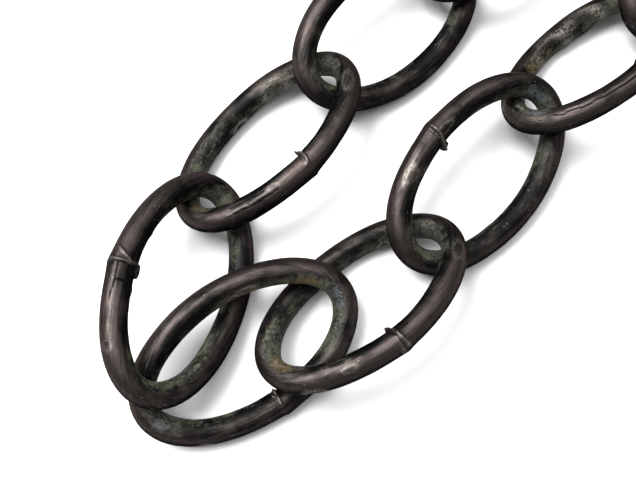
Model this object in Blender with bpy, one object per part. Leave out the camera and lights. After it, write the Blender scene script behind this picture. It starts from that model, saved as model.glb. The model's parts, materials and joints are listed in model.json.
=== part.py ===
"""A loose length of oval-link chain in dark bronze, laid out as a hairpin on a flat surface.

Each link is one bent bar of round section, butt welded on one long side, with the weld's flash ring
and burr left on. Twenty links are threaded through one another. A link leans on its neighbours, so
that one long side lies on the ground and the other is raised, and the raised side alternates.

Metres, +Z up. The ground is z = 0, and the two strands run away from the bend towards +Y.
"""

import math

import bmesh
import bpy
from mathutils import Matrix, Vector

# Driving dimensions of one link
BAR_DIAMETER = 0.008
LINK_LENGTH = 0.076
LINK_WIDTH = 0.046

# Flash ring and burr of the butt weld, which is at the middle of one long side
WELD_ANGLE = math.radians(90.0)
FLASH_PROUD = 0.0007
FLASH_LENGTH = 0.0022
BURR_LENGTH = 0.0020
BURR_ROOT_RADIUS = 0.0011
BURR_TIP_RADIUS = 0.0006

# Fineness of the faceted surfaces
LINK_STEPS = 32
BAR_SIDES = 8

# Lay of the chain: distance between two neighbours' centres, and how far a link leans over
LINK_SPACING = 0.056
LEAN = 28.0

# Links round the bend, from the left strand to the right one. Each is laid by hand as its centre's
# x and y in millimetres, the heading of its long axis, its lean (left side raised where positive)
# and its slope (front end raised where positive) in degrees, its lift off the ground in millimetres,
# and whether its weld is on the raised side.
BEND = (
    (-34, 66.5, 86, 28, -3, 0, True),
    (-32.5, 9.5, 93, -26, 3, 0, True),
    (-15.5, -43, 121, 36, -8, 0, True),
    (11.5, -42.5, 78, 19, 0, 0, False),
    (25.5, -7, 85, -28, -3, 0, True),
    (23, 48.5, 95, 25, 4, 0.5, True),
    (23, 105.5, 88, -35, -1, 0, True),
)

# Headings of the links that carry each strand on, away from the bend
LEFT_HEADINGS = (92, 98, 106, 114, 120, 124, 126)
RIGHT_HEADINGS = (86, 80, 72, 64, 58, 54)

BAR_RADIUS = BAR_DIAMETER / 2
HALF_LENGTH = (LINK_LENGTH - BAR_DIAMETER) / 2
HALF_WIDTH = (LINK_WIDTH - BAR_DIAMETER) / 2
MILLIMETRE = 0.001


def clear_scene():
    for thing in list(bpy.data.objects):
        bpy.data.objects.remove(thing)


def new_collection(name):
    collection = bpy.data.collections.new(name)
    bpy.context.scene.collection.children.link(collection)
    return collection


def bronze(name, warmth):
    """Dark patinated bronze. warmth moves it from green-black at 0 to brown-black at 1."""
    material = bpy.data.materials.new(name)
    material.use_nodes = True
    shader = material.node_tree.nodes["Principled BSDF"]
    green_black = Vector((0.034, 0.040, 0.034))
    brown_black = Vector((0.052, 0.040, 0.034))
    shader.inputs["Base Color"].default_value = (*green_black.lerp(brown_black, warmth), 1.0)
    shader.inputs["Metallic"].default_value = 0.85
    shader.inputs["Roughness"].default_value = 0.42
    return material


def centreline(angle):
    """A point of the bar's centreline, an ellipse in the link's own XY plane."""
    return Vector((HALF_LENGTH * math.cos(angle), HALF_WIDTH * math.sin(angle), 0.0))


def ring_mesh():
    """The closed bar: a bevelled curve along the ellipse, with a flat facet at each end's crown."""
    curve = bpy.data.curves.new("link_centreline", "CURVE")
    curve.dimensions = "3D"
    curve.bevel_depth = BAR_RADIUS
    curve.bevel_resolution = BAR_SIDES // 2 - 2
    spline = curve.splines.new("POLY")
    spline.points.add(LINK_STEPS - 1)
    for step, point in enumerate(spline.points):
        angle = 2 * math.pi * (step + 0.5) / LINK_STEPS
        point.co = (*centreline(angle), 1.0)
        point.tilt = math.pi / BAR_SIDES
    spline.use_cyclic_u = True
    guide = bpy.data.objects.new("link_centreline", curve)
    bpy.context.scene.collection.objects.link(guide)
    evaluated = guide.evaluated_get(bpy.context.evaluated_depsgraph_get())
    mesh = bpy.data.meshes.new_from_object(evaluated)
    mesh.name = "link_ring"
    bpy.data.objects.remove(guide)
    return mesh


def cone_object(name, collection, place, bottom_radius, top_radius, length, sides):
    mesh = bpy.data.meshes.new(name)
    shape = bmesh.new()
    bmesh.ops.create_cone(
        shape,
        cap_ends=True,
        segments=sides,
        radius1=bottom_radius,
        radius2=top_radius,
        depth=length,
        matrix=place,
    )
    shape.to_mesh(mesh)
    shape.free()
    cone = bpy.data.objects.new(name, mesh)
    cone.hide_render = True
    cone.display_type = "WIRE"
    collection.objects.link(cone)
    return cone


def weld_objects(collection):
    """The flash ring round the bar and the burr that points into the link's opening."""
    middle = centreline(WELD_ANGLE)
    along = Vector((-math.sin(WELD_ANGLE), math.cos(WELD_ANGLE), 0.0))
    ring_turn = along.to_track_quat("Z", "Y").to_matrix().to_4x4()
    ring_place = Matrix.Translation(middle) @ ring_turn
    flash_radius = BAR_RADIUS + FLASH_PROUD
    flash = cone_object(
        "weld_flash", collection, ring_place, flash_radius, flash_radius, FLASH_LENGTH, BAR_SIDES
    )
    inward = -middle.normalized()
    burr_height = BURR_LENGTH + FLASH_PROUD + BAR_RADIUS / 2
    burr_middle = middle + inward * (BAR_RADIUS / 2 + burr_height / 2)
    burr_turn = inward.to_track_quat("Z", "Y").to_matrix().to_4x4()
    burr_place = Matrix.Translation(burr_middle) @ burr_turn
    burr = cone_object(
        "weld_burr", collection, burr_place, BURR_ROOT_RADIUS, BURR_TIP_RADIUS, burr_height, 6
    )
    return flash, burr


def link_mesh(collection):
    """One link's mesh, centred on its own origin with its long axis on X and its weld towards +Y."""
    ring = bpy.data.objects.new("link_ring", ring_mesh())
    ring.hide_render = True
    ring.display_type = "WIRE"
    collection.objects.link(ring)
    for extra in weld_objects(collection):
        union = ring.modifiers.new(extra.name, "BOOLEAN")
        union.operation = "UNION"
        union.object = extra
    evaluated = ring.evaluated_get(bpy.context.evaluated_depsgraph_get())
    mesh = bpy.data.meshes.new_from_object(evaluated)
    mesh.name = "link"
    mesh.shade_smooth()
    mesh.set_sharp_from_angle(angle=math.radians(50))
    return mesh


def attitude(heading, lean, slope):
    """Turn of a link whose long axis points along heading, leant about it and sloped up it."""
    return (
        Matrix.Rotation(math.radians(heading), 3, "Z")
        @ Matrix.Rotation(math.radians(-slope), 3, "Y")
        @ Matrix.Rotation(math.radians(lean), 3, "X")
    )


def resting_height(turn):
    """Height of a link's centre when the lowest point of its bar touches the ground."""
    fall_along = HALF_LENGTH * turn[2][0]
    fall_across = HALF_WIDTH * turn[2][1]
    return BAR_RADIUS + math.hypot(fall_along, fall_across)


def strand(start, headings):
    """Rows like those of BEND for the links that follow start, leaning to one side and the other."""
    x, y, heading, lean = start[:4]
    side = -math.copysign(1.0, lean)
    rows = []
    for next_heading in headings:
        course = math.radians((heading + next_heading) / 2)
        x += LINK_SPACING / MILLIMETRE * math.cos(course)
        y += LINK_SPACING / MILLIMETRE * math.sin(course)
        rows.append((x, y, next_heading, side * LEAN, 0, 0, True))
        heading = next_heading
        side = -side
    return rows


def add_link(number, row, mesh, material, collection):
    x, y, heading, lean, slope, lift, weld_raised = row
    turn = attitude(heading, lean, slope)
    height = resting_height(turn) + lift * MILLIMETRE
    weld_on_left = (lean > 0) == weld_raised
    if not weld_on_left:
        turn = turn @ Matrix.Rotation(math.pi, 3, "X")
    link = bpy.data.objects.new(f"link_{number:02d}", mesh)
    link.location = (x * MILLIMETRE, y * MILLIMETRE, height)
    link.rotation_euler = turn.to_euler()
    link.material_slots[0].link = "OBJECT"
    link.material_slots[0].material = material
    collection.objects.link(link)
    return link


def stand_on_origin(links):
    """Moves the whole chain so that its box is centred on the Z axis and stands on z = 0."""
    bpy.context.view_layer.update()
    corners = [link.matrix_world @ vertex.co for link in links for vertex in link.data.vertices]
    low = Vector(map(min, zip(*corners)))
    high = Vector(map(max, zip(*corners)))
    middle = (low + high) / 2
    for link in links:
        link.location -= Vector((middle.x, middle.y, low.z))


def build():
    clear_scene()
    guides = new_collection("guides")
    chain = new_collection("oval_link_chain")
    mesh = link_mesh(guides)
    mesh.materials.append(bronze("bronze", 0.5))
    rows = [
        *reversed(strand(BEND[0], LEFT_HEADINGS)),
        *BEND,
        *strand(BEND[-1], RIGHT_HEADINGS),
    ]
    links = []
    for number, row in enumerate(rows, start=1):
        warmth = 0.5 + 0.5 * math.sin(2.4 * number)
        material = bronze(f"bronze_{number:02d}", warmth)
        links.append(add_link(number, row, mesh, material, chain))
    stand_on_origin(links)


build()
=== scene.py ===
"""Looks of the oval-link chain: each CAD link is replaced by a finely modelled one in the same place.

A link is one bent bar. Its surface is worked out in the link's own frame, in millimetres: u runs along
the long axis, v towards the side that is welded, w across both. t is the angle of a point of the
centreline ellipse: 0 at the far bow (+u), 90 at the welded side, 180 at the near bow and 270 at the
plain side. Round the bar, 0 faces outward, 90 faces up as the chain lies, and 180 into the opening.
"""

import json
import math
import random
from types import SimpleNamespace

import bpy
import numpy as np
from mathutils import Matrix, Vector, noise

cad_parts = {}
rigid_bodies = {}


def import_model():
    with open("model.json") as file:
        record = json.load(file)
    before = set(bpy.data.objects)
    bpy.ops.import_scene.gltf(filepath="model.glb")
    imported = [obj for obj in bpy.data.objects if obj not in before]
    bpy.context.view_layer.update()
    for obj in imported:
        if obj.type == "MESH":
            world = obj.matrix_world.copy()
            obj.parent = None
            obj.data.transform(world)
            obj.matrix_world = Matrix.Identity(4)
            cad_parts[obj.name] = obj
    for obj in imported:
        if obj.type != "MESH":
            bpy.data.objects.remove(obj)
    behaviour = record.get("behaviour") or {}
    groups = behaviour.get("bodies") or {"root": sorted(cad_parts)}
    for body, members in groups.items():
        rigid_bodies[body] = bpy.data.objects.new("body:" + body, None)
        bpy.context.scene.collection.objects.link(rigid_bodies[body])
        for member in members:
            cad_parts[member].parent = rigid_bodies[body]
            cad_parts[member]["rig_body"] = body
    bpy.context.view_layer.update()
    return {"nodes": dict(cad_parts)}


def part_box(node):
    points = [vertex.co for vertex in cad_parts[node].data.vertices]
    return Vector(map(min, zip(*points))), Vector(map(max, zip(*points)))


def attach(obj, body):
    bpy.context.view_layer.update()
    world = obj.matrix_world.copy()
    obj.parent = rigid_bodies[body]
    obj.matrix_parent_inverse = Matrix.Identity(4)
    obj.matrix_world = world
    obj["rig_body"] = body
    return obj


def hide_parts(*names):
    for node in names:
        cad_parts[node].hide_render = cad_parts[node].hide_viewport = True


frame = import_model()

MM = 0.001
FIRST_SEED = 1000

# One link, as in the CAD
BAR_RADIUS = 4.0
HALF_LENGTH = 34.0
HALF_WIDTH = 19.0

# The weld's corners lie within this share of a CAD link's half length from its middle
WELD_SHARE = 0.37

# Fineness of the finished bar
STATION_GAP = 0.75
WELD_STATION_GAP = 0.17
WELD_ZONE = 5.0
BAR_SIDES = 64
INNER_CROWDING = 0.30
ARC_TABLE_STEPS = 7200

# How far the bent bar is off the ellipse, in its plane and across it
SIDE_STRAY = 0.16
SIDE_LIFT = 0.15
KINK_REACH = 7.0

# How far the bar's section is off a circle
TWISTED_SWELL = 0.05
PLAIN_SWELL = 0.04
THREE_LOBED = 0.05
BOW_WEAR = 0.18

# The butt weld: reaches and widths along the bar, and how its ridge fades out round the bar
SWELL_REACH = 3.2
STEP_SHARPNESS = 0.4
STEP_REACH = 4.5
RIDGE_WIDTH = 0.42
RIDGE_FADE_DEGREES = 9.0
RING_WIDTH = 0.8
UNDERCUT_PLACE = 0.95
UNDERCUT_WIDTH = 0.5

# Dents have a raised rim, worn bright at its foot. Places are in the dent's own size
RIM_PLACE = 1.4
BRIGHT_PLACE = 1.25
RIM_WIDTH = 0.35
RIM_HEIGHT_SHARE = 0.35

# Creases waver, and a burr's lobes are blunt and spread along the bar
CREASE_WAVER = 0.13
LOBE_BLUNTNESS = 0.28
LOBE_SPREAD = 0.25

# Height of the crust on the skin: everywhere, more inside the opening, most on the weld
CRUST = 0.035
INNER_CRUST = 0.045
WELD_CRUST = 0.10
WELD_CRUST_REACH = 1.8

# How far along the bar the weld's own colour reaches, and how much of it the burr takes
WELD_COLOUR_REACH = 3.5
BURR_BRIGHTNESS = 0.3

# Direction of the painted light: the worn brown is painted only on the side of every bar that faces this
# way, towards the lamps, so that side reads lit and the far side stays dark as painted shade
PAINTED_LIGHT_DIRECTION = (-0.50, 0.20, 0.84)

# Colours of the patina
DARK_GROUND = (0.0095, 0.0098, 0.0095)
# Purple-brown of wear, painted only on the lamp-facing side, so it is partly real wear and partly painted
# light
WORN_AND_PAINTED_LIT_GROUND = (0.062, 0.050, 0.047)
DARK_VERDIGRIS = (0.038, 0.042, 0.036)
LIGHT_VERDIGRIS = (0.080, 0.080, 0.056)
BLUE_BLOOM = (0.070, 0.082, 0.096)
OCHRE = (0.115, 0.080, 0.036)
DIRT = (0.010, 0.011, 0.009)
PALE_FLECK = (0.20, 0.21, 0.17)
BARE_SCRATCH = (0.16, 0.147, 0.135)
DARK_LINE = (0.007, 0.007, 0.007)
PALE_CHIP = (0.18, 0.185, 0.165)
BRIGHT_WELD = (0.26, 0.24, 0.215)
CRACK = (0.004, 0.004, 0.004)

# Colours of the floor
GREY_CARD = (0.86, 0.86, 0.86)
WHITE_CARD = (0.90, 0.90, 0.895)

# The main view, in degrees and metres, with its lens in millimetres. It looks at a place beside link_11
VIEW_AZIMUTH = 45.0
VIEW_ELEVATION = 73.0
VIEW_DISTANCE = 0.275
VIEW_LENS = 47.75
SENSOR_WIDTH = 36.0
VIEW_TARGET_NODE = "link_11"
VIEW_TARGET_OFFSET = (-0.0119, 0.0426)

# Lamps: offset from what the camera looks at, diameter and power, and the light from all round
KEY_LAMP = ((-0.59, -0.25, 1.18), 0.85, 31.0)
TOP_LAMP = ((-0.10, 0.30, 1.3), 1.6, 17.0)
AMBIENT_STRENGTH = 0.18

# Half the side of the square floor
FLOOR_HALF = 3.0


# ---------------------------------------------------------------- where each CAD link is


def link_frame(node):
    """A CAD link's centre in millimetres and its axes u, v and w as rows; u heads for +Y."""
    corners = np.array([v.co for v in frame["nodes"][node].data.vertices], float) / MM
    corners = np.unique(np.round(corners, 3), axis=0)
    # The weld's corners would pull the centre aside, so they are left out, more exactly each round
    clear = np.ones(len(corners), bool)
    for _ in range(5):
        centre = corners[clear].mean(0)
        spread = np.linalg.svd(corners[clear] - centre, full_matrices=False)[2]
        local = (corners - centre) @ spread.T
        clear = np.abs(local[:, 0]) > HALF_LENGTH * WELD_SHARE
    middle = np.abs(local[:, 0]) < HALF_WIDTH / 2
    burr_tip = local[middle][np.argmin(np.abs(local[middle][:, 1]))]
    along = spread[0] * np.sign(spread[0][1])
    across = spread[1] * np.sign(burr_tip[1])
    return centre, np.array([along, across, np.cross(along, across)])


# ---------------------------------------------------------------- the grid of a finished link


def wrapped(difference, period):
    return (difference + period / 2) % period - period / 2


def hump(distance, width):
    return np.exp(-((distance / width) ** 2))


def stacked(*parts):
    """Arrays over the grid, or over its rows or columns, joined along a new last axis."""
    return np.stack(np.broadcast_arrays(*parts), axis=-1)


def ellipse_table():
    """Fine table of the centreline: angle and arc length from the far bow."""
    angle = np.linspace(0, 2 * math.pi, ARC_TABLE_STEPS + 1)
    speed = np.hypot(HALF_LENGTH * np.sin(angle), HALF_WIDTH * np.cos(angle))
    step = (speed[1:] + speed[:-1]) / 2 * np.diff(angle)
    return angle, np.concatenate([[0.0], np.cumsum(step)])


ANGLES, ARCS = ellipse_table()
PERIMETER = ARCS[-1]


def arc_at(t_degrees):
    return float(np.interp(math.radians(t_degrees % 360), ANGLES, ARCS))


WELD_ARC = arc_at(90)


def stations(weld_arc):
    """Arc lengths of the rings of vertices, close together at the weld."""
    fine = np.arange(-WELD_ZONE, WELD_ZONE, WELD_STATION_GAP)
    rest = PERIMETER - 2 * WELD_ZONE
    count = round(rest / STATION_GAP)
    coarse = WELD_ZONE + rest * np.arange(count) / count
    return (weld_arc + np.concatenate([fine, coarse])) % PERIMETER


def bar_angles():
    """Angles round the bar, closer together on the inner side, where the burr is."""
    even = 2 * math.pi * np.arange(BAR_SIDES) / BAR_SIDES
    return even + INNER_CROWDING * np.sin(even)


class Grid:
    """The skin of one bar: a row of vertices for each station, a column for each angle round it."""

    def __init__(self, weld, up):
        self.arc = stations(WELD_ARC + weld.shift)[:, None]
        self.off_weld = wrapped(self.arc - WELD_ARC - weld.shift, PERIMETER)
        self.t = np.interp(self.arc, ARCS, ANGLES)

        # The angle round the bar: theta in degrees, 90 facing up, and around in radians, towards +w
        self.theta = np.degrees(bar_angles())[None, :]
        self.around = bar_angles()[None, :] * up

        # Masks from 0 to 1 of the long sides, the bows, and the bar's face into the opening
        self.side = np.abs(np.sin(self.t)) ** 1.5
        self.bow = np.cos(self.t) ** 2
        self.inward = (1 - np.cos(self.around)) / 2

        # Outward from the ellipse, in its own plane
        normal_u = HALF_WIDTH * np.cos(self.t)
        normal_v = HALF_LENGTH * np.sin(self.t)
        length = np.hypot(normal_u, normal_v)
        self.outward_u = normal_u / length
        self.outward_v = normal_v / length

    def zeros(self):
        return np.zeros((self.arc.size, self.theta.size))

    def girth_from(self, angle):
        """Distance round the bar from an angle."""
        return np.radians(wrapped(self.theta - angle, 360)) * BAR_RADIUS

    def reach(self, t_degrees, angle, length, girth):
        """Distance from the middle of a spot, where 1 is its own edge."""
        run = wrapped(self.arc - arc_at(t_degrees), PERIMETER)
        return np.hypot(run / length, self.girth_from(angle) / girth)


# ---------------------------------------------------------------- what each link carries


class Weld:
    """What the butt weld left on a bar. Lengths in millimetres, angles round the bar in degrees.

    shift: how far along the bar the weld is from the middle of the long side
    ridge, ridge_span: height of the ragged ridge, and the angles where it starts and ends
    skew: how far the ridge and ring run askew of a true cut across the bar
    ring: height of the low ring all the way round
    lobes: the burr's lobes, each its distance past the weld, angle round the bar, length, girth, height
    undercut: depth of the groove beside the ridge
    kink: how far the two ends stand out where they meet at an angle
    swell: how much the bar's radius grows at the weld
    step: how far each of the two ends is out of line
    creases: each the distance past the weld and the angle round the bar of both its ends, its width,
        and its height, which is negative for a crack
    """

    def __init__(self, shift, ridge, ridge_span, skew, ring, lobes, undercut=0.12, kink=0.45,
                 swell=0.15, step=0.14, creases=()):
        self.shift = shift
        self.ridge = ridge
        self.ridge_span = ridge_span
        self.skew = skew
        self.ring = ring
        self.lobes = lobes
        self.undercut = undercut
        self.kink = kink
        self.swell = swell
        self.step = step
        self.creases = creases


WELDS = {
    "link_09": Weld(
        shift=-0.5, ridge=0.65, ridge_span=(62, 190), skew=0.5, ring=0.05,
        kink=0.55, swell=0.10, step=0.20,
        lobes=((-0.45, 170, 0.5, 0.55, 2.3), (-0.4, 150, 0.6, 1.6, 0.6)),
        creases=((13, 62, 29, 60, 0.28, 0.14), (12, 50, 27, 53, 0.22, -0.12),
                 (5, 78, 12, 70, 0.22, 0.10), (16, 80, 28, 84, 0.20, -0.09),
                 (0.6, 62, 1.8, 50, 0.4, 0.3)),
    ),
    "link_10": Weld(
        shift=1.8, ridge=0.45, ridge_span=(-20, 130), skew=0.5, ring=0.12,
        kink=0.40, swell=0.25, step=0.22,
        lobes=((1.4, 158, 2.0, 1.8, 1.1), (0.2, 150, 0.9, 1.4, 0.9)),
        creases=((-4.3, 15, 0.2, 112, 0.30, 0.32), (1.0, 52, 12, 46, 0.16, -0.12),
                 (10, 50, 24, 44, 0.18, 0.09), (5.8, 52, 5.8, 92, 0.18, -0.18),
                 (5.8, 52, 7.0, 50, 0.2, -0.16)),
    ),
    "link_11": Weld(
        shift=-0.5, ridge=0.45, ridge_span=(95, 200), skew=0.3, ring=0.10,
        kink=0.3, step=0.16,
        lobes=((-0.4, 160, 0.6, 0.8, 1.1), (0.7, 145, 0.6, 0.8, 0.6)),
    ),
    "link_12": Weld(
        shift=1.75, ridge=0.50, ridge_span=(15, 185), skew=-0.8, ring=0.15,
        undercut=0.2, kink=0.35, step=0.18,
        lobes=((0.6, 166, 0.9, 1.1, 1.0), (1.4, 10, 0.6, 0.9, 0.7)),
        creases=((0.9, 75, 1.7, 0, 0.35, 0.35),),
    ),
    "link_13": Weld(
        shift=1.5, ridge=0.55, ridge_span=(40, 190), skew=-0.9, ring=0.12,
        undercut=0.22, kink=0.6, step=0.24,
        lobes=((0.3, 166, 1.1, 1.5, 1.5), (1.4, 170, 0.9, 1.1, 1.8)),
        creases=((11, 84, 16, 64, 0.25, 0.16), (13, 60, 20, 66, 0.25, 0.12)),
    ),
    "link_14": Weld(
        shift=-1.8, ridge=0.45, ridge_span=(40, 190), skew=0.4, ring=0.15,
        lobes=((0.2, 168, 0.8, 1.0, 0.9),),
        creases=((3, 66, 30, 74, 0.28, 0.12), (2, 56, 34, 62, 0.20, -0.12)),
    ),
}

# Dents: t, angle round the bar, length, girth, depth (negative stands proud)
DENTS = {
    "link_09": ((300, 175, 4.0, 2.5, -0.25), (112, 65, 1.3, 1.0, -0.22)),
    "link_10": ((136, 30, 1.1, 1.1, 0.22), (106, 152, 1.0, 0.8, -0.35), (72, 165, 0.8, 0.8, -0.25)),
    "link_12": ((30, 60, 2.5, 1.4, 0.10), (128, 95, 3.0, 0.8, 0.08)),
    "link_13": ((62, 165, 3.0, 1.4, 0.06), (120, 65, 2.5, 1.0, -0.08)),
    "link_14": ((215, 70, 1.4, 1.4, 0.14), (290, 175, 6.5, 4.5, -0.9), (264, 172, 6.0, 4.0, 0.45)),
}

# Patches of colour: t, angle round the bar, length, girth, strength of ochre, verdigris and blue.
# A negative strength keeps the colour away.
PATCHES = {
    "link_08": ((200, 120, 2.0, 1.5, 0.8, 0.0, 0.0), (170, 140, 4.0, 3.0, 0.0, 0.5, 0.5),
                (290, 110, 16.0, 7.0, 0.0, -0.4, 0.0)),
    "link_09": ((172, 120, 4.5, 2.2, 1.0, 0.0, 0.0), (350, 90, 9.0, 5.0, 0.0, 0.7, 0.2),
                (250, 110, 12.0, 2.5, 0.0, 0.2, 0.6)),
    "link_10": ((340, 100, 9.0, 5.0, 0.0, 0.9, 0.3), (190, 160, 8.0, 3.0, 0.0, 0.5, 0.2)),
    "link_11": ((325, 140, 6.0, 3.0, 1.0, 0.2, 0.0), (0, 120, 8.0, 4.0, 0.0, 0.3, 0.8),
                (30, 150, 6.0, 3.0, 0.5, 0.9, 0.0), (165, 100, 6.0, 4.0, 0.3, 0.4, 0.7),
                (285, 160, 14.0, 2.5, 1.0, 0.7, 0.0)),
    "link_12": ((210, 120, 6.0, 4.0, 0.5, 0.9, 0.0), (170, 110, 6.0, 4.0, 1.0, 0.6, 0.0),
                (345, 120, 9.0, 4.0, 0.0, 0.6, 0.1), (192, 80, 3.0, 2.0, 0.0, 0.2, 0.6)),
    "link_13": ((190, 150, 9.0, 3.5, 0.1, 1.0, 0.1), (10, 130, 8.0, 4.0, 0.0, 0.2, 1.0)),
    "link_14": ((180, 140, 7.0, 5.0, 0.4, 1.0, 0.2), (165, 100, 4.0, 3.0, 0.0, 0.5, 0.8),
                (250, 150, 24.0, 4.0, 0.8, 0.0, -0.6)),
}


def random_weld(draw):
    return Weld(
        shift=draw.uniform(-1.0, 1.0),
        ridge=draw.uniform(0.35, 0.6),
        ridge_span=(draw.uniform(20, 90), draw.uniform(170, 210)),
        skew=draw.uniform(-1.0, 1.0),
        ring=draw.uniform(0.05, 0.2),
        undercut=draw.uniform(0.08, 0.22),
        kink=draw.uniform(0.2, 0.55),
        swell=draw.uniform(0.08, 0.25),
        step=draw.uniform(0.1, 0.22),
        lobes=(
            (draw.uniform(-0.5, 0.5), draw.uniform(160, 180), draw.uniform(0.5, 1.2),
             draw.uniform(0.7, 1.5), draw.uniform(0.8, 1.8)),
            (draw.uniform(-1.5, 2.0), draw.uniform(140, 180), draw.uniform(0.5, 1.5),
             draw.uniform(0.8, 1.5), draw.uniform(0.3, 0.8)),
        ),
    )


def random_dents(draw):
    return tuple(
        (draw.uniform(0, 360), draw.uniform(0, 360), draw.uniform(1, 4), draw.uniform(0.8, 1.8),
         draw.uniform(-0.12, 0.14))
        for _ in range(4)
    )


def random_patches(draw):
    return tuple(
        (draw.choice((0, 180)) + draw.uniform(-35, 35), draw.uniform(90, 200), draw.uniform(3, 9),
         draw.uniform(2, 4), draw.uniform(0, 1) ** 2, draw.uniform(0, 1), draw.uniform(0, 1) ** 2)
        for _ in range(4)
    )


# ---------------------------------------------------------------- shape of a finished link


def centreline(grid, weld, phase):
    """The bar was bent cold: its long sides stray a little, and they meet at an angle in the weld."""
    stray = SIDE_STRAY * grid.side * (np.sin(3 * grid.t + phase[0]) + 0.6 * np.sin(5 * grid.t + phase[1]))
    stray = stray + weld.kink * np.exp(-np.abs(grid.off_weld) / KINK_REACH)
    lift = SIDE_LIFT * grid.side * np.sin(2 * grid.t + phase[2])
    centre_u = HALF_LENGTH * np.cos(grid.t) + stray * grid.outward_u
    centre_v = HALF_WIDTH * np.sin(grid.t) + stray * grid.outward_v
    return centre_u, centre_v, lift


def bar_section(grid, phase):
    """Radius of the bar: round with slow variation, and worn a little flat inside the bows."""
    radius = BAR_RADIUS + TWISTED_SWELL * np.sin(4 * grid.t + 2 * grid.around + phase[3])
    radius = radius + PLAIN_SWELL * np.sin(7 * grid.t + phase[4])
    radius = radius + THREE_LOBED * grid.side * np.cos(3 * grid.around + phase[5])
    return radius - BOW_WEAR * grid.bow ** 8 * grid.inward ** 4


def weld_relief(grid, weld, phase):
    """Swollen bar, a step where the ends didn't meet, a low ring, and a ragged ridge on part of it."""
    wander = weld.skew * np.cos(grid.around) + 0.20 * np.sin(3 * grid.around + phase[0])
    past_weld = grid.off_weld - wander
    step = np.tanh(past_weld / STEP_SHARPNESS) * hump(grid.off_weld, STEP_REACH)
    relief = weld.swell * hump(grid.off_weld, SWELL_REACH)
    relief = relief + weld.step * step * np.cos(grid.around + phase[1])

    low, high = weld.ridge_span
    span = 1 / (1 + np.exp(-(grid.theta - low) / RIDGE_FADE_DEGREES))
    span = span / (1 + np.exp((grid.theta - high) / RIDGE_FADE_DEGREES))
    ragged = 0.72 + 0.28 * np.sin(6 * grid.around + phase[2]) * np.sin(4 * grid.around + phase[3])
    ridge = span * ragged * hump(past_weld, RIDGE_WIDTH)
    relief = relief + weld.ridge * ridge + weld.ring * ragged * hump(past_weld, RING_WIDTH)
    relief = relief - weld.undercut * span * hump(past_weld - UNDERCUT_PLACE, UNDERCUT_WIDTH)
    return relief, ridge


def dent_relief(grid, dents):
    """Dents, nicks and raised slivers, and where their rims are."""
    relief = grid.zeros()
    rims = grid.zeros()
    for t, angle, length, girth, depth in dents:
        reach = grid.reach(t, angle, length, girth)
        rim_height = RIM_HEIGHT_SHARE * abs(depth)
        relief = relief - depth * hump(reach, 1.0) + rim_height * hump(reach - RIM_PLACE, RIM_WIDTH)
        rims = rims + hump(reach - BRIGHT_PLACE, RIM_WIDTH)
    return relief, rims


def crease_relief(grid, creases):
    """Creases and cracks, drawn straight from one place on the skin to another."""
    relief = grid.zeros()
    folds = grid.zeros()
    cracks = grid.zeros()
    for run_from, angle_from, run_to, angle_to, width, height in creases:
        length = run_to - run_from
        girth = np.radians(angle_to - angle_from) * BAR_RADIUS
        along = grid.off_weld - run_from
        across = grid.girth_from(angle_from) + CREASE_WAVER * np.sin(0.9 * along)
        share = (along * length + across * girth) / (length ** 2 + girth ** 2)
        share = np.clip(share, 0, 1)
        line = hump(np.hypot(along - share * length, across - share * girth), width)
        relief = relief + height * line
        if height > 0:
            folds = folds + line
        else:
            cracks = np.maximum(cracks, line)
    return relief, folds, cracks


def burr_relief(grid, lobes):
    """Lobes squeezed out of the weld, most of them into the opening: mask, height and spread."""
    burr = grid.zeros()
    relief = grid.zeros()
    spread = grid.zeros()
    for lobe_run, lobe_angle, length, lobe_girth, height in lobes:
        run = (grid.off_weld - lobe_run) / length
        girth = grid.girth_from(lobe_angle) / lobe_girth
        lobe = np.clip(1 - run ** 2 - girth ** 2, 0, 1) ** LOBE_BLUNTNESS
        burr = np.maximum(burr, lobe)
        relief = np.maximum(relief, height * lobe)
        spread = spread + LOBE_SPREAD * run * lobe * length
    return burr, relief, spread


def crust(points, origin):
    """Fine unevenness of the hammered and corroded skin."""
    height = np.zeros(points.shape[:2])
    for row, column in np.ndindex(height.shape):
        place = Vector(points[row, column]) + origin
        height[row, column] = noise.noise(place * 0.45) * 0.6 + noise.noise(place * 1.1) * 0.4
    return height


def patch_tints(grid, patches):
    """Strength of ochre, verdigris and blue over the skin."""
    tints = [grid.zeros() for _ in range(3)]
    for t, angle, length, girth, *strengths in patches:
        mask = hump(grid.reach(t, angle, length, girth), 1.0)
        tints = [tint + strength * mask for tint, strength in zip(tints, strengths)]
    return tints


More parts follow.
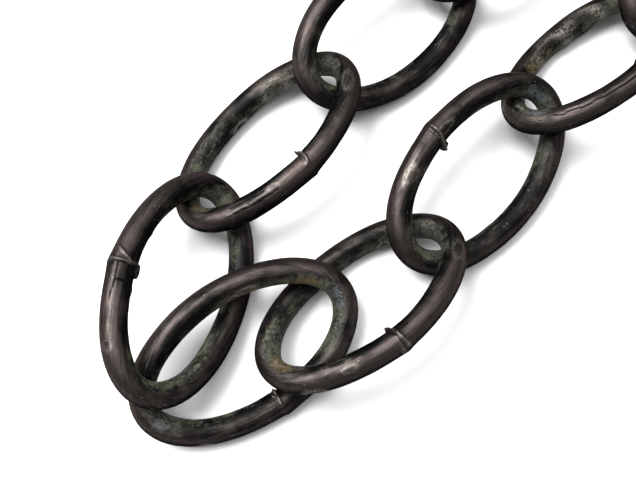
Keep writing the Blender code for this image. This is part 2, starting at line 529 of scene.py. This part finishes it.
def link_surface(weld, dents, patches, up, draw):
    """A link's skin in its own frame: points, outward directions, and what its material reads."""
    grid = Grid(weld, up)
    phase = [draw.uniform(0, 2 * math.pi) for _ in range(6)]
    origin = Vector((draw.uniform(0, 500), draw.uniform(0, 500), draw.uniform(0, 500)))

    centre_u, centre_v, lift = centreline(grid, weld, phase)
    weld_height, ridge = weld_relief(grid, weld, phase)
    dent_height, rims = dent_relief(grid, dents)
    crease_height, folds, cracks = crease_relief(grid, weld.creases)
    burr, burr_height, spread = burr_relief(grid, weld.lobes)
    radius = bar_section(grid, phase) + weld_height + dent_height + crease_height + burr_height

    cos, sin = np.cos(grid.around), np.sin(grid.around)
    points = stacked(
        centre_u + radius * cos * grid.outward_u - spread * grid.outward_v,
        centre_v + radius * cos * grid.outward_v + spread * grid.outward_u,
        lift + radius * sin,
    )
    skin = stacked(cos * grid.outward_u, cos * grid.outward_v, sin)
    crust_height = CRUST + INNER_CRUST * grid.inward + WELD_CRUST * hump(grid.off_weld, WELD_CRUST_REACH)
    points = points + skin * (crust(points, origin) * crust_height)[..., None]

    weld_zone = hump(grid.off_weld, WELD_COLOUR_REACH)
    zones = stacked(grid.inward, grid.bow, weld_zone, np.clip(ridge + BURR_BRIGHTNESS * burr, 0, 1))
    tints = np.clip(stacked(*patch_tints(grid, patches), rims + 0.7 * folds - 2 * cracks), -1, 1)

    # Coordinates for marks that run along the bar, mirrored at the bows so that they never break off
    run = np.abs(wrapped(grid.arc - PERIMETER / 2, PERIMETER))
    grain = stacked(BAR_RADIUS * cos + 0.3 * centre_v, BAR_RADIUS * sin, run)
    return points, skin, zones, tints, grain, origin


# ---------------------------------------------------------------- mesh of a finished link


def grid_faces(rows, columns):
    """Quads of a grid that closes on itself both ways."""
    i = np.arange(rows)[:, None]
    j = np.arange(columns)[None, :]
    next_i = (i + 1) % rows
    next_j = (j + 1) % columns
    corners = stacked(
        i * columns + j, next_i * columns + j, next_i * columns + next_j, i * columns + next_j
    )
    return corners.reshape(-1, 4)


def add_attribute(mesh, name, kind, values):
    """A value, colour or vector for every vertex, which the material reads by name."""
    attribute = mesh.attributes.new(name, kind, "POINT")
    key = {"FLOAT": "value", "FLOAT_COLOR": "color", "FLOAT_VECTOR": "vector"}[kind]
    attribute.data.foreach_set(key, values.astype(np.float32).ravel())


def link_object(name, node, draw):
    centre, axes = link_frame(node)
    up = 1.0 if axes[2][2] > 0 else -1.0
    weld = WELDS.get(node) or random_weld(draw)
    dents = DENTS.get(node, ()) + random_dents(draw)
    patches = PATCHES.get(node) or random_patches(draw)
    points, skin, zones, tints, grain, origin = link_surface(weld, dents, patches, up, draw)
    flat = points.reshape(-1, 3)
    world = (flat @ axes + centre) * MM
    quads = grid_faces(*points.shape[:2])
    if up > 0:
        quads = quads[:, ::-1]

    mesh = bpy.data.meshes.new(name)
    mesh.from_pydata(world.tolist(), [], quads.tolist())
    mesh.shade_smooth()
    add_attribute(mesh, "zones", "FLOAT_COLOR", zones)
    add_attribute(mesh, "tints", "FLOAT_COLOR", tints)
    # How far the skin faces the lamps, which the material uses to paint light and shade on the bars
    add_attribute(mesh, "exposure", "FLOAT", skin @ axes @ np.array(PAINTED_LIGHT_DIRECTION))
    add_attribute(mesh, "spot", "FLOAT_VECTOR", flat + np.array(origin))
    add_attribute(mesh, "grain", "FLOAT_VECTOR", grain + np.array(origin) / 10)
    mesh.update()
    link = bpy.data.objects.new(name, mesh)
    bpy.context.scene.collection.objects.link(link)
    return link


# ---------------------------------------------------------------- materials


class Nodes:
    """Short words for the shader nodes of one material."""

    def __init__(self, material):
        material.use_nodes = True
        self.tree = material.node_tree
        self.shader = self.tree.nodes["Principled BSDF"]

    def put(self, socket, value):
        if isinstance(value, bpy.types.NodeSocket):
            self.tree.links.new(value, socket)
        elif isinstance(value, tuple) and len(value) == 3 and socket.type == "RGBA":
            socket.default_value = (*value, 1.0)
        else:
            socket.default_value = value

    def attribute(self, name):
        node = self.tree.nodes.new("ShaderNodeAttribute")
        node.attribute_name = name
        return node

    def channels(self, name):
        attribute = self.attribute(name)
        split = self.tree.nodes.new("ShaderNodeSeparateColor")
        self.put(split.inputs[0], attribute.outputs["Color"])
        return (*split.outputs, attribute.outputs["Alpha"])

    def noise(self, vector, scale, detail, roughness=0.5, distortion=0.0):
        node = self.tree.nodes.new("ShaderNodeTexNoise")
        self.put(node.inputs["Vector"], vector)
        node.inputs["Scale"].default_value = scale
        node.inputs["Detail"].default_value = detail
        node.inputs["Roughness"].default_value = roughness
        node.inputs["Distortion"].default_value = distortion
        return node.outputs["Fac"]

    def cells(self, vector, scale):
        node = self.tree.nodes.new("ShaderNodeTexVoronoi")
        self.put(node.inputs["Vector"], vector)
        node.inputs["Scale"].default_value = scale
        return node.outputs["Distance"]

    def math(self, operation, a, b):
        node = self.tree.nodes.new("ShaderNodeMath")
        node.operation = operation
        self.put(node.inputs[0], a)
        self.put(node.inputs[1], b)
        return node.outputs[0]

    def add(self, *terms):
        total = terms[0]
        for term in terms[1:]:
            total = self.math("ADD", total, term)
        return total

    def times(self, *factors):
        total = factors[0]
        for factor in factors[1:]:
            total = self.math("MULTIPLY", total, factor)
        return total

    def smooth(self, value, low, high, start=0.0, end=1.0):
        node = self.tree.nodes.new("ShaderNodeMapRange")
        node.interpolation_type = "SMOOTHSTEP"
        self.put(node.inputs["Value"], value)
        node.inputs["From Min"].default_value = low
        node.inputs["From Max"].default_value = high
        node.inputs["To Min"].default_value = start
        node.inputs["To Max"].default_value = end
        return node.outputs["Result"]

    def mix(self, factor, a, b):
        node = self.tree.nodes.new("ShaderNodeMix")
        node.data_type = "RGBA"
        self.put(node.inputs["Factor"], factor)
        self.put(node.inputs[6], a)
        self.put(node.inputs[7], b)
        return node.outputs[2]

    def scaled(self, vector, factors):
        node = self.tree.nodes.new("ShaderNodeVectorMath")
        node.operation = "MULTIPLY"
        self.put(node.inputs[0], vector)
        node.inputs[1].default_value = factors
        return node.outputs[0]

    def bump(self, height, strength, distance):
        node = self.tree.nodes.new("ShaderNodeBump")
        node.inputs["Strength"].default_value = strength
        node.inputs["Distance"].default_value = distance
        self.put(node.inputs["Height"], height)
        self.put(self.shader.inputs["Normal"], node.outputs["Normal"])


def bronze_pattern(nodes):
    """What the bronze is mixed from: where a point is on its link, how far it faces the lamps for painted
    light, its marks, and noises of all sizes.
    """
    pattern = SimpleNamespace()
    pattern.spot = nodes.attribute("spot").outputs["Vector"]
    # How far the skin faces the lamps, for the painted light and shade
    pattern.exposure = nodes.attribute("exposure").outputs["Fac"]
    pattern.inward, pattern.bow, pattern.weld, pattern.ridge = nodes.channels("zones")
    pattern.ochre_patch, pattern.green_patch, pattern.blue_patch, pattern.marks = nodes.channels("tints")
    pattern.cloud = nodes.noise(pattern.spot, 0.085, 3.0, 0.55)
    pattern.mottle = nodes.noise(pattern.spot, 0.36, 4.0, 0.6, 0.6)
    pattern.fleck = nodes.noise(pattern.spot, 1.3, 3.0, 0.65, 0.4)
    pattern.tint = nodes.noise(nodes.scaled(pattern.spot, (1.0, 1.3, 0.8)), 0.18, 3.0, 0.6)
    # Drawn out along the bar
    grain = nodes.attribute("grain").outputs["Vector"]
    pattern.drawn = nodes.noise(nodes.scaled(grain, (1.0, 1.0, 0.20)), 0.55, 4.0, 0.6)
    pattern.streaks = nodes.noise(nodes.scaled(grain, (1.0, 1.0, 0.05)), 1.2, 3.0, 0.6)
    pattern.lines = nodes.noise(nodes.scaled(grain, (1.0, 1.0, 0.028)), 3.0, 3.0, 0.65)
    return pattern


def verdigris_mask(nodes, pattern):
    """Verdigris sits inside the opening, most of all in the bows."""
    damp = nodes.add(
        nodes.times(pattern.inward, 0.80),
        nodes.times(pattern.bow, pattern.inward, 0.42),
        nodes.times(pattern.weld, -0.30),
        nodes.times(pattern.green_patch, 0.40),
        nodes.times(pattern.blue_patch, 0.30),
        nodes.times(pattern.ochre_patch, 0.30),
        nodes.times(pattern.cloud, 0.60),
        nodes.times(pattern.drawn, 0.75),
        nodes.times(pattern.mottle, 0.60),
        nodes.times(pattern.fleck, 0.45),
    )
    return nodes.smooth(damp, 1.86, 2.36)


def scratch_mask(nodes, pattern):
    """Bare scratches along the bar, in some places only and none inside the opening."""
    zone = nodes.smooth(nodes.noise(pattern.spot, 0.10, 2.0), 0.46, 0.62)
    outside = nodes.smooth(pattern.inward, 0.85, 0.45)
    return nodes.times(nodes.smooth(pattern.lines, 0.58, 0.64), zone, outside)


def chip_mask(nodes, pattern):
    """Small pale chips, in some places only."""
    zone = nodes.smooth(nodes.noise(pattern.spot, 0.35, 2.0), 0.52, 0.64)
    return nodes.times(nodes.smooth(nodes.cells(pattern.spot, 0.55), 0.15, 0.07), zone)


def verdigris_colour(nodes, pattern):
    """Verdigris, bluer in some patches and browner in others."""
    blue = nodes.add(
        nodes.times(pattern.blue_patch, 0.45),
        nodes.times(pattern.mottle, 0.7),
        nodes.times(pattern.fleck, 0.3),
        nodes.times(pattern.tint, 0.2),
    )
    ochre = nodes.add(
        nodes.times(pattern.ochre_patch, 0.45),
        nodes.times(pattern.mottle, 0.6),
        nodes.times(pattern.drawn, 0.4),
    )
    colour = nodes.mix(nodes.smooth(pattern.tint, 0.35, 0.65), DARK_VERDIGRIS, LIGHT_VERDIGRIS)
    colour = nodes.mix(nodes.times(nodes.smooth(blue, 0.78, 1.08), 0.85), colour, BLUE_BLOOM)
    return nodes.mix(nodes.times(nodes.smooth(ochre, 0.68, 0.98), 0.85), colour, OCHRE)


def patina_colour(nodes, pattern, verdigris):
    """Black-green ground, purple-brown where it is worn and faces the lamps, which is partly real wear
    and partly painted light and shade, under verdigris with dirt and pale flecks.
    """
    wear = nodes.add(
        pattern.cloud,
        nodes.times(pattern.streaks, 0.4),
        nodes.times(pattern.drawn, 0.6),
        nodes.times(pattern.inward, -0.45),
    )
    # Painted light: the worn brown is kept to the side facing the lamps, so the lit side reads brighter
    # and the far side stays dark as painted shade
    worn_and_painted_lit = nodes.times(nodes.smooth(wear, 0.60, 1.00), nodes.smooth(pattern.exposure, -0.20, 0.45))
    colour = nodes.mix(worn_and_painted_lit, DARK_GROUND, WORN_AND_PAINTED_LIT_GROUND)
    colour = nodes.mix(verdigris, colour, verdigris_colour(nodes, pattern))
    hollows = nodes.add(nodes.times(pattern.fleck, 0.6), nodes.times(pattern.mottle, 0.4))
    dirt = nodes.smooth(hollows, 0.53, 0.40)
    colour = nodes.mix(nodes.times(dirt, verdigris, 0.85), colour, DIRT)
    pale = nodes.times(nodes.smooth(pattern.fleck, 0.60, 0.72), verdigris)
    return nodes.mix(nodes.times(pale, 0.55), colour, PALE_FLECK)


def marked_colour(nodes, pattern, colour, scratched, chips):
    """The patina's colour with scratches, dark lines, chips, the bright weld and cracks on it."""
    colour = nodes.mix(nodes.times(scratched, 0.45), colour, BARE_SCRATCH)
    outside = nodes.smooth(pattern.inward, 0.9, 0.5)
    dark_line = nodes.times(nodes.smooth(pattern.lines, 0.42, 0.35), outside)
    colour = nodes.mix(nodes.times(dark_line, 0.5), colour, DARK_LINE)
    colour = nodes.mix(nodes.times(chips, 0.7), colour, PALE_CHIP)
    raised = nodes.times(nodes.math("MAXIMUM", pattern.marks, 0.0), 0.5)
    broken = nodes.add(pattern.fleck, nodes.times(pattern.streaks, 0.3))
    bright = nodes.math("MAXIMUM", pattern.ridge, raised)
    bright = nodes.times(bright, nodes.smooth(broken, 0.48, 0.72))
    colour = nodes.mix(nodes.times(bright, 0.85), colour, BRIGHT_WELD)
    return nodes.mix(nodes.smooth(pattern.marks, -0.15, -0.7), colour, CRACK)


def bronze_roughness(nodes, pattern, verdigris, scratched):
    return nodes.add(
        nodes.smooth(verdigris, 0.0, 1.0, 0.45, 0.60),
        nodes.times(nodes.add(pattern.mottle, -0.5), 0.22),
        nodes.times(nodes.add(pattern.streaks, -0.5), 0.24),
        nodes.times(scratched, -0.06),
    )


def bronze_relief(nodes, pattern, verdigris, chips):
    crusty = nodes.math("MAXIMUM", verdigris, nodes.times(pattern.weld, 0.3))
    return nodes.add(
        nodes.times(pattern.fleck, crusty, 0.18),
        nodes.times(pattern.mottle, 0.12),
        nodes.times(pattern.streaks, 0.11),
        nodes.times(pattern.lines, 0.08),
        nodes.times(chips, 0.05),
        nodes.times(nodes.noise(pattern.spot, 3.0, 2.0), 0.035),
    )


def patinated_bronze():
    """Black-green bronze, worn brown on top and towards the lamps, which is partly painted light, with
    verdigris, ochre and blue-grey bloom inside.
    """
    material = bpy.data.materials.new("patinated_bronze")
    nodes = Nodes(material)
    pattern = bronze_pattern(nodes)
    verdigris = verdigris_mask(nodes, pattern)
    scratched = scratch_mask(nodes, pattern)
    chips = chip_mask(nodes, pattern)
    colour = marked_colour(nodes, pattern, patina_colour(nodes, pattern, verdigris), scratched, chips)
    nodes.put(nodes.shader.inputs["Base Color"], colour)
    nodes.put(nodes.shader.inputs["Roughness"], bronze_roughness(nodes, pattern, verdigris, scratched))
    nodes.put(nodes.shader.inputs["Metallic"], nodes.smooth(verdigris, 0.0, 1.0, 0.98, 0.35))
    nodes.shader.inputs["Specular IOR Level"].default_value = 0.25
    nodes.shader.inputs["Specular Tint"].default_value = (0.35, 0.35, 0.35, 1.0)
    nodes.bump(bronze_relief(nodes, pattern, verdigris, chips), 0.8, MM)
    return material


def pale_floor():
    """Smooth pale card, faintly uneven."""
    material = bpy.data.materials.new("pale_card")
    nodes = Nodes(material)
    coordinates = nodes.tree.nodes.new("ShaderNodeTexCoord").outputs["Object"]
    tooth = nodes.noise(coordinates, 900.0, 4.0)
    shade = nodes.noise(coordinates, 3.0, 2.0)
    colour = nodes.mix(shade, GREY_CARD, WHITE_CARD)
    nodes.put(nodes.shader.inputs["Base Color"], colour)
    nodes.put(nodes.shader.inputs["Roughness"], nodes.smooth(tooth, 0.3, 0.7, 0.75, 0.9))
    nodes.bump(tooth, 0.15, 0.05 * MM)
    return material


# ---------------------------------------------------------------- floor, light and camera


def floor_object(height):
    mesh = bpy.data.meshes.new("floor")
    signs = ((-1, -1), (1, -1), (1, 1), (-1, 1))
    corners = [(FLOOR_HALF * x, FLOOR_HALF * y, height) for x, y in signs]
    mesh.from_pydata(corners, [], [(0, 1, 2, 3)])
    floor = bpy.data.objects.new("floor", mesh)
    mesh.materials.append(pale_floor())
    bpy.context.scene.collection.objects.link(floor)
    return floor


def area_light(name, target, offset, size, power):
    data = bpy.data.lights.new(name, "AREA")
    data.shape = "DISK"
    data.size = size
    data.energy = power
    light = bpy.data.objects.new(name, data)
    light.location = Vector(target) + Vector(offset)
    light.rotation_euler = (-Vector(offset)).to_track_quat("-Z", "Y").to_euler()
    bpy.context.scene.collection.objects.link(light)


def light_scene(target):
    world = bpy.data.worlds.new("studio")
    world.use_nodes = True
    background = world.node_tree.nodes["Background"]
    background.inputs["Color"].default_value = (1.0, 1.0, 1.0, 1.0)
    background.inputs["Strength"].default_value = AMBIENT_STRENGTH
    bpy.context.scene.world = world
    area_light("key", target, *KEY_LAMP)
    area_light("top", target, *TOP_LAMP)


def add_camera(target):
    data = bpy.data.cameras.new("camera")
    data.lens = VIEW_LENS
    data.sensor_width = SENSOR_WIDTH
    data.clip_start = 0.01
    data.clip_end = 20.0
    azimuth, elevation = math.radians(VIEW_AZIMUTH), math.radians(VIEW_ELEVATION)
    back = Vector((
        math.sin(azimuth) * math.cos(elevation),
        -math.cos(azimuth) * math.cos(elevation),
        math.sin(elevation),
    ))
    camera = bpy.data.objects.new("camera", data)
    camera.location = Vector(target) + back * VIEW_DISTANCE
    camera.rotation_euler = (-back).to_track_quat("-Z", "Y").to_euler()
    bpy.context.scene.collection.objects.link(camera)
    bpy.context.scene.camera = camera


# ---------------------------------------------------------------- the scene


bronze = patinated_bronze()
lowest = math.inf
for body, node in sorted((cad_link["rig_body"], name) for name, cad_link in frame["nodes"].items()):
    number = int(node[-2:])
    link = link_object(f"{node}_bar", node, random.Random(FIRST_SEED + number))
    link.data.materials.append(bronze)
    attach(link, body)
    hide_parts(node)
    lowest = min(lowest, min(v.co.z for v in link.data.vertices))

floor_object(lowest)
low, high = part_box(VIEW_TARGET_NODE)
middle = (low + high) / 2
view_target = (middle.x + VIEW_TARGET_OFFSET[0], middle.y + VIEW_TARGET_OFFSET[1], 0.0)
light_scene(view_target)
add_camera(view_target)
bpy.context.scene.view_settings.view_transform = "Standard"
